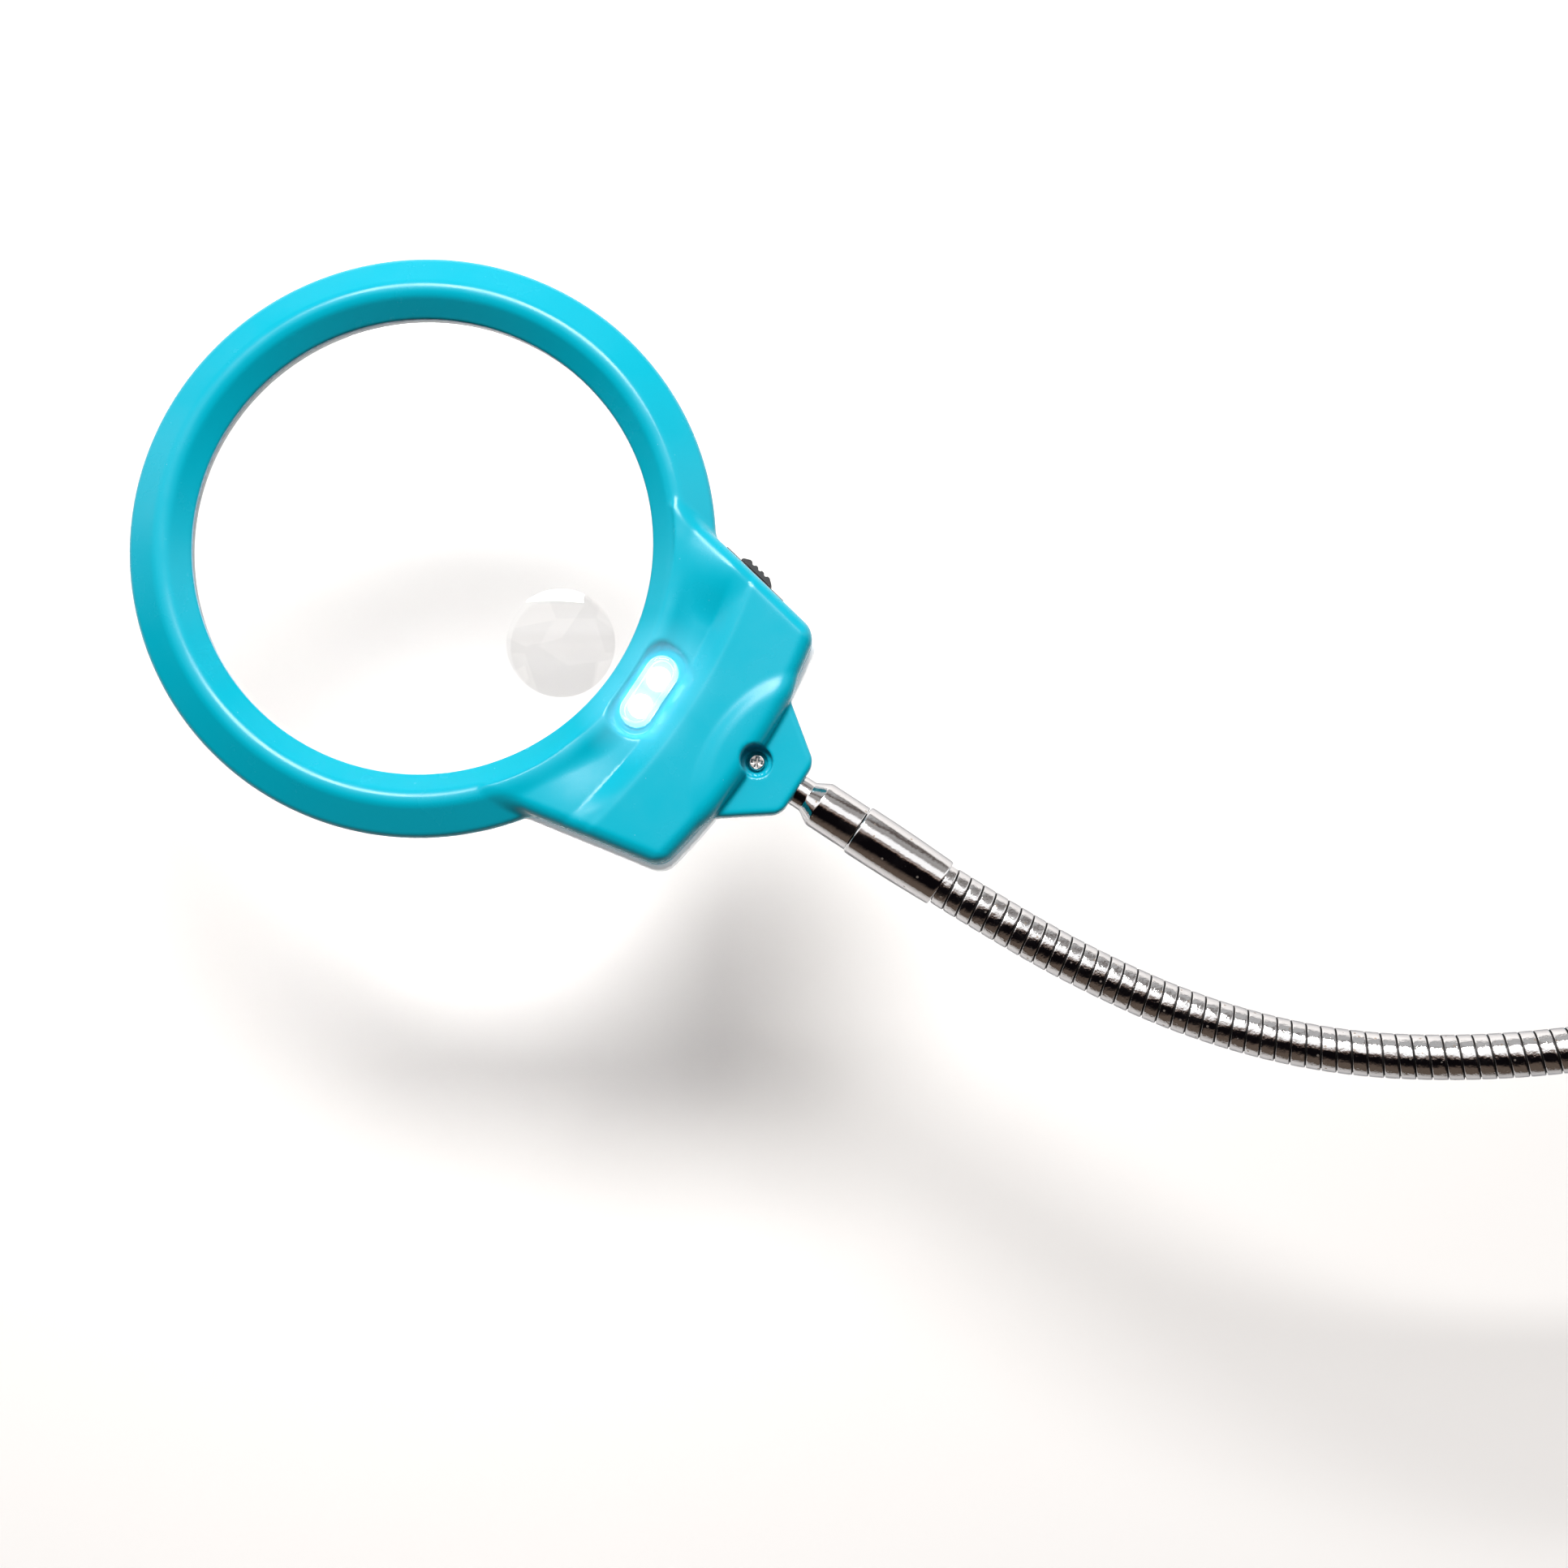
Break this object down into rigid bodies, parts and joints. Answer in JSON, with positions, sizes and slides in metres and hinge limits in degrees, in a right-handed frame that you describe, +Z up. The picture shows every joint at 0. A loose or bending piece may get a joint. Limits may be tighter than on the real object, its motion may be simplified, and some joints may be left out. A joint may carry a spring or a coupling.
{
  "type": "magnifying lamp",
  "caption": "Hands-free magnifying lamp: round lens with a spot lens and lit window in a plastic head, on a chrome gooseneck with a weighted round base.",
  "frame": {"origin": "centre of the base's underside", "axes": "+Z up, +X from the head towards the base, so the head lies towards -X; +Y completes the right-handed frame"},
  "size_m": [0.5067, 0.221, 0.1357],
  "materials": {
    "turquoise_plastic": "satin gloss moulded ABS",
    "white_plastic": "satin moulded ABS",
    "lens_acrylic": "clear polished acrylic",
    "window_clear": "clear polished plastic",
    "led_epoxy": "clear epoxy, lit cool white",
    "chrome": "bright chrome plate",
    "zinc_steel": "bright zinc plate",
    "black_plastic": "fine matt",
    "contact_metal": "nickel plate",
    "cell_jacket": "satin jacket",
    "board": "circuit board lacquer",
    "component_body": "matt",
    "wire_jacket": "satin",
    "rubber": "matt rubber",
    "cast_iron": "rough cast"
  },
  "bodies": {
    "base": {"base_cover": "turquoise_plastic", "base_weight": "cast_iron", "base_screws": "zinc_steel", "base_pad": "rubber", "neck_ferrule": "chrome", "ferrule_nut": "zinc_steel", "ferrule_washer": "zinc_steel"},
    "neck_01": {"neck_link_01": "chrome"},
    "neck_02": {"neck_link_02": "chrome"},
    "neck_03": {"neck_link_03": "chrome"},
    "neck_04": {"neck_link_04": "chrome"},
    "neck_05": {"neck_link_05": "chrome"},
    "neck_06": {"neck_link_06": "chrome"},
    "neck_07": {"neck_link_07": "chrome"},
    "neck_08": {"neck_link_08": "chrome"},
    "neck_09": {"neck_link_09": "chrome"},
    "neck_10": {"neck_link_10": "chrome"},
    "neck_11": {"neck_link_11": "chrome"},
    "neck_end": {"neck_sleeve": "chrome"},
    "head": {"front_cover": "turquoise_plastic", "back_cover": "white_plastic", "main_lens": "lens_acrylic", "led_window": "window_clear", "leds": "led_epoxy", "led_board": "board", "led_resistor": "component_body", "contact_springs": "contact_metal", "contact_plates": "contact_metal", "battery_1": "cell_jacket", "battery_2": "cell_jacket", "wires": "wire_jacket", "tab_screw": "zinc_steel", "back_screws": "zinc_steel", "switch_plate": "black_plastic", "switch_body": "black_plastic", "stem": "chrome", "swivel_ring": "zinc_steel"},
    "switch": {"switch_knob": "black_plastic"},
    "battery_door": {"battery_cover": "white_plastic"}
  },
  "joints": [
    {"name": "neck_lower_bend", "type": "hinge", "parent": "base", "child": "neck_01", "pos_m": [0.016, 0, 0.042], "axis": [-0.2079, 0.9781, 0], "range_deg": [-5, 15]},
    {"name": "neck_lower_sway", "type": "hinge", "parent": "neck_01", "child": "neck_02", "pos_m": [0.01047, -0.00117, 0.07106], "axis": [-0.8555, -0.1818, -0.4848], "range_deg": [-15, 15]},
    {"name": "neck_lower_bend_2", "type": "hinge", "parent": "neck_02", "child": "neck_03", "pos_m": [-0.00356, -0.00416, 0.09695], "axis": [-0.2079, 0.9781, 0], "range_deg": [-5, 15]},
    {"name": "neck_lower_sway_2", "type": "hinge", "parent": "neck_03", "child": "neck_04", "pos_m": [-0.02508, -0.00873, 0.11675], "axis": [-0.3822, -0.0812, -0.9205], "range_deg": [-15, 15]},
    {"name": "neck_middle_bend", "type": "hinge", "parent": "neck_04", "child": "neck_05", "pos_m": [-0.05173, -0.0144, 0.12832], "axis": [-0.2079, 0.9781, 0], "range_deg": [-8, 15]},
    {"name": "neck_middle_sway", "type": "hinge", "parent": "neck_05", "child": "neck_06", "pos_m": [-0.08057, -0.02053, 0.1309], "axis": [0.1705, 0.0331, -0.9848], "range_deg": [-15, 15]},
    {"name": "neck_middle_bend_2", "type": "hinge", "parent": "neck_06", "child": "neck_07", "pos_m": [-0.10919, -0.02609, 0.12576], "axis": [-0.1392, 0.9903, 0], "range_deg": [-8, 15]},
    {"name": "neck_middle_sway_2", "type": "hinge", "parent": "neck_07", "child": "neck_08", "pos_m": [-0.1375, -0.03007, 0.1181], "axis": [0.2249, -0.0039, -0.9744], "range_deg": [-15, 15]},
    {"name": "neck_upper_bend", "type": "hinge", "parent": "neck_08", "child": "neck_09", "pos_m": [-0.16634, -0.02957, 0.11144], "axis": [-0.2334, -0.9724, 0], "range_deg": [-15, 10]},
    {"name": "neck_upper_sway", "type": "hinge", "parent": "neck_09", "child": "neck_10", "pos_m": [-0.19468, -0.02276, 0.1063], "axis": [0.1113, -0.0496, -0.9925], "range_deg": [-15, 15]},
    {"name": "neck_upper_bend_2", "type": "hinge", "parent": "neck_10", "child": "neck_11", "pos_m": [-0.22152, -0.01081, 0.10269], "axis": [-0.5075, -0.8616, 0], "range_deg": [-15, 10]},
    {"name": "neck_upper_sway_2", "type": "hinge", "parent": "neck_11", "child": "neck_end", "pos_m": [-0.24695, 0.00417, 0.10037], "axis": [0.0453, -0.0295, -0.9985], "range_deg": [-15, 15]},
    {"name": "head_swivel", "type": "hinge", "parent": "neck_end", "child": "head", "pos_m": [-0.27054, 0.01954, 0.09884], "axis": [-0.8365, 0.5453, -0.0541], "range_deg": [-160, 160]},
    {"name": "switch_slide", "type": "slide", "parent": "head", "child": "switch", "axis": [-0.715, 0.6959, -0.0673], "range_m": [-0.003, 0.003]},
    {"name": "battery_cover_slide", "type": "slide", "parent": "head", "child": "battery_door", "axis": [0.8365, -0.5453, 0.0541], "range_m": [0, 0.03]}
  ],
  "couplings": [
    {"joint": "neck_lower_bend_2", "follows": "neck_lower_bend", "ratio": 1},
    {"joint": "neck_lower_sway_2", "follows": "neck_lower_sway", "ratio": 1},
    {"joint": "neck_middle_bend_2", "follows": "neck_middle_bend", "ratio": 1},
    {"joint": "neck_middle_sway_2", "follows": "neck_middle_sway", "ratio": 1},
    {"joint": "neck_upper_bend_2", "follows": "neck_upper_bend", "ratio": 1},
    {"joint": "neck_upper_sway_2", "follows": "neck_upper_sway", "ratio": 1}
  ]
}
